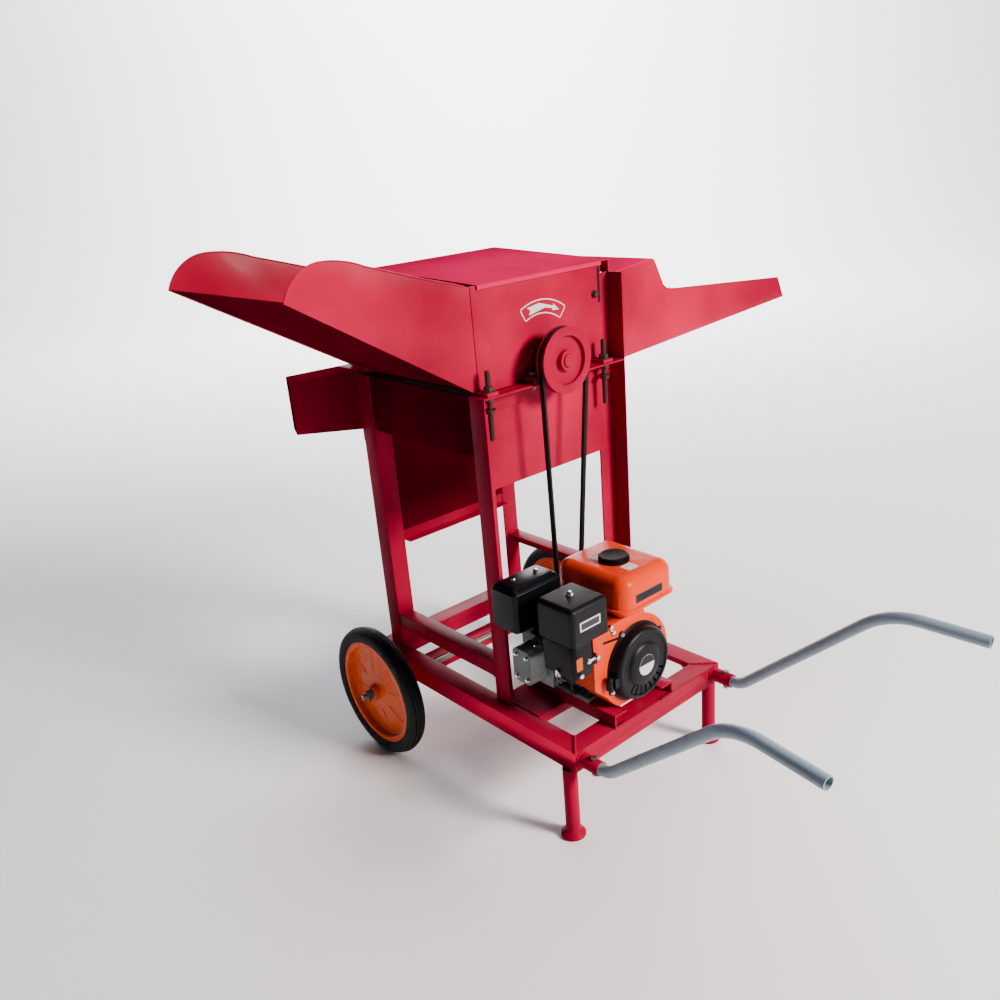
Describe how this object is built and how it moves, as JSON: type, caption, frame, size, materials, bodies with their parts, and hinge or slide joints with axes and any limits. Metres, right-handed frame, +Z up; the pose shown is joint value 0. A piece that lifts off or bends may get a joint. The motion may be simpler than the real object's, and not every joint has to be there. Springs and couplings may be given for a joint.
{
  "type": "threshing machine",
  "caption": "Portable crop thresher on a wheeled barrow frame, with a belt drive from a small petrol engine to the spiked drum, a feed tray, a straw chute and a grain spout.",
  "frame": {"origin": "on the ground below the middle of the overall box", "axes": "+X from the wheels to the handles, +Y from the straw chute to the feed tray, +Z up"},
  "size_m": [1.4316, 1.584, 1.321],
  "materials": {
    "red_paint": "gloss",
    "engine_orange": "gloss",
    "wheel_orange": "satin",
    "black_paint": "satin",
    "black_plastic": "satin",
    "rubber": "matt",
    "tyre": "matt",
    "zinc": "satin",
    "bright": "polished",
    "grey_tube": "satin",
    "bare_steel": "worn",
    "iron": "rough",
    "engine_alloy": "cast"
  },
  "bodies": {
    "chassis": {"base_rails": "red_paint", "tower_cross_plate": "red_paint", "engine_rails": "red_paint", "tower_posts": "red_paint", "cross_rails": "red_paint", "axle": "bare_steel", "axle_nuts": "bare_steel", "legs": "red_paint", "handle_sockets": "red_paint", "handles": "grey_tube", "lower_front_panel": "red_paint", "lower_rear_panel": "red_paint", "lower_side_panels": "red_paint", "bearing_ledges": "red_paint", "clamp_bolts": "bare_steel", "housing_roof": "red_paint", "upper_front_panel": "red_paint", "upper_rear_panel": "red_paint", "chute_walls": "red_paint", "chute_floor": "red_paint", "tray_walls": "red_paint", "tray_floor": "red_paint", "feed_hood": "red_paint", "concave": "bare_steel", "grain_pan": "bare_steel", "fan_front_plate": "red_paint", "fan_casing": "red_paint", "grain_spout": "red_paint", "drive_belt": "rubber", "bearing_blocks": "iron", "frame_bolts": "zinc", "engine_block": "engine_alloy", "cylinder_head": "engine_alloy", "spark_plug": "black_plastic", "plug_lead": "rubber", "fan_shroud": "engine_orange", "recoil_cover": "black_plastic", "fuel_tank": "engine_orange", "air_cleaner": "black_plastic", "carburettor_shield": "black_plastic", "engine_screws": "bright", "carburettor": "engine_alloy", "muffler_guard": "black_paint", "muffler": "black_paint"},
    "near_wheel_body": {"near_tyre": "tyre", "near_wheel": "wheel_orange"},
    "far_wheel_body": {"far_tyre": "tyre", "far_wheel": "wheel_orange"},
    "drum_body": {"drum_shaft": "bare_steel", "drum": "bare_steel", "drum_teeth": "bare_steel", "drum_pulley": "red_paint", "fan_rotor": "bare_steel"},
    "crank_body": {"crankshaft": "bare_steel", "engine_pulley": "iron", "flywheel": "iron"},
    "grip_body": {"starter_grip": "black_plastic"},
    "throttle_body": {"throttle_lever": "bright"},
    "choke_body": {"choke_lever": "bright"},
    "cap_body": {"fuel_cap": "black_plastic"}
  },
  "joints": [
    {"name": "near_wheel_spin", "type": "hinge", "parent": "chassis", "child": "near_wheel_body", "pos_m": [-0.53831, -0.465, 0.175], "axis": [0, 1, 0], "continuous": true},
    {"name": "far_wheel_spin", "type": "hinge", "parent": "chassis", "child": "far_wheel_body", "pos_m": [-0.53831, 0.215, 0.175], "axis": [0, 1, 0], "continuous": true},
    {"name": "drum_spin", "type": "hinge", "parent": "chassis", "child": "drum_body", "pos_m": [-0.12881, -0.125, 1.027], "axis": [1, 0, 0], "continuous": true},
    {"name": "crank_spin", "type": "hinge", "parent": "chassis", "child": "crank_body", "pos_m": [-0.12881, -0.155, 0.362], "axis": [1, 0, 0], "continuous": true},
    {"name": "recoil_pull", "type": "slide", "parent": "chassis", "child": "grip_body", "axis": [0, -1, 0], "range_m": [0, 0.06], "stiffness_N_per_m": 60, "springref_m": -0.01},
    {"name": "throttle_swing", "type": "hinge", "parent": "chassis", "child": "throttle_body", "pos_m": [0.07949, -0.226, 0.462], "axis": [1, 0, 0], "range_deg": [-20, 20]},
    {"name": "choke_swing", "type": "hinge", "parent": "chassis", "child": "choke_body", "pos_m": [0.09349, -0.321, 0.438], "axis": [1, 0, 0], "range_deg": [-35, 35]},
    {"name": "fuel_cap_turn", "type": "hinge", "parent": "chassis", "child": "cap_body", "pos_m": [0.00519, -0.135, 0.585], "axis": [0, 0, 1], "range_deg": [0, 90]}
  ],
  "couplings": [
    {"joint": "crank_spin", "follows": "drum_spin", "ratio": 2.3559}
  ]
}
